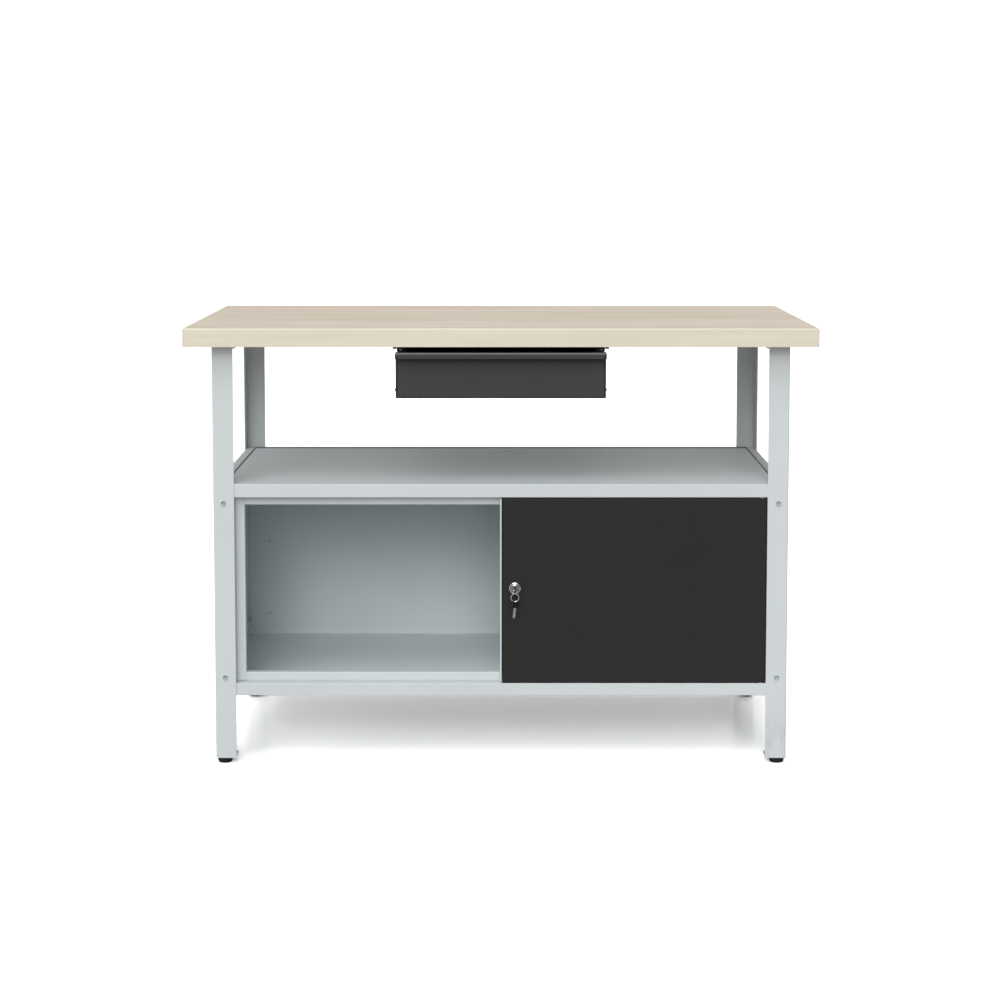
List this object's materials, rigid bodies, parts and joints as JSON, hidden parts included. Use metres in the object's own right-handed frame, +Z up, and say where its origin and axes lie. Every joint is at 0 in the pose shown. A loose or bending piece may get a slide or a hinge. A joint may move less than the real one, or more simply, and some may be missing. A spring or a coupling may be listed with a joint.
{
  "type": "workbench",
  "caption": "Steel workbench with a wooden top, a drawer under it, a middle shelf and a low cabinet, half open and half behind a locking door.",
  "frame": {"origin": "centre of the worktop's outline, on the floor", "axes": "+X along the bench to the door side, front faces -Y, +Z up"},
  "size_m": [1.2, 0.6, 0.85],
  "materials": {
    "wood_top": "clear matt lacquered pale beech, grain along the length",
    "grey_paint": "light grey fine-texture powder coat",
    "door_paint": "anthracite fine-texture powder coat",
    "drawer_paint": "anthracite fine-texture powder coat",
    "foot_plastic": "black moulded plastic",
    "zinc_steel": "zinc plated",
    "painted_fixings": "painted with the frame",
    "dark_rivets": "painted with the drawer",
    "slide_steel": "black stoved steel",
    "nylon": "natural nylon",
    "bumper_rubber": "soft black rubber",
    "lock_chrome": "bright chrome",
    "key_steel": "nickel plated",
    "key_plastic": "black moulded plastic"
  },
  "bodies": {
    "bench": {"worktop": "wood_top", "leg_front_left": "grey_paint", "leg_front_right": "grey_paint", "leg_rear_left": "grey_paint", "leg_rear_right": "grey_paint", "top_rail_left": "grey_paint", "top_rail_right": "grey_paint", "worktop_screws": "zinc_steel", "foot_plates": "grey_paint", "foot_front_left": "foot_plastic", "foot_front_right": "foot_plastic", "foot_rear_left": "foot_plastic", "foot_rear_right": "foot_plastic", "foot_nuts": "zinc_steel", "side_panel_left": "grey_paint", "side_panel_right": "grey_paint", "back_panel": "grey_paint", "middle_shelf": "grey_paint", "bottom_pan": "grey_paint", "front_header": "grey_paint", "front_sill": "grey_paint", "centre_partition": "grey_paint", "partition_rivets": "painted_fixings", "carcass_rivets": "painted_fixings", "leg_bolts": "painted_fixings", "leg_nuts": "zinc_steel", "hinge_pins": "zinc_steel", "drawer_slide_left": "slide_steel", "drawer_slide_right": "slide_steel", "slide_washers": "zinc_steel", "slide_screws": "zinc_steel"},
    "door": {"door_panel": "door_paint", "door_stiffener": "door_paint", "hinge_bushes": "nylon", "door_bumpers": "bumper_rubber", "lock_body": "lock_chrome", "lock_nut": "zinc_steel"},
    "lock": {"lock_plug": "lock_chrome", "lock_cam": "zinc_steel", "cam_screw": "zinc_steel", "key_blade": "key_steel", "key_bow": "key_plastic"},
    "ring": {"key_ring": "key_steel"},
    "spare_key": {"spare_bow": "key_plastic", "spare_blade": "key_steel"},
    "drawer": {"drawer_front": "drawer_paint", "drawer_box": "drawer_paint", "drawer_runner_left": "drawer_paint", "drawer_runner_right": "drawer_paint", "glide_pads": "nylon", "drawer_rivets": "dark_rivets"}
  },
  "joints": [
    {"name": "drawer_slide", "type": "slide", "parent": "bench", "child": "drawer", "axis": [0, -1, 0], "range_m": [0, 0.325]},
    {"name": "door_hinge", "type": "hinge", "parent": "bench", "child": "door", "pos_m": [0.5024, -0.247, 0.339], "axis": [0, 0, 1], "range_deg": [0, 105]},
    {"name": "lock_turn", "type": "hinge", "parent": "door", "child": "lock", "pos_m": [0.027, -0.245, 0.3443], "axis": [0, -1, 0], "range_deg": [0, 90]},
    {"name": "ring_swing", "type": "hinge", "parent": "lock", "child": "ring", "pos_m": [0.027, -0.272, 0.3374], "axis": [-1, 0, 0], "range_deg": [-12, 60]},
    {"name": "spare_key_swing", "type": "hinge", "parent": "ring", "child": "spare_key", "pos_m": [0.027, -0.272, 0.3222], "axis": [0.7071, -0.7071, 0], "range_deg": [-30, 30]}
  ]
}
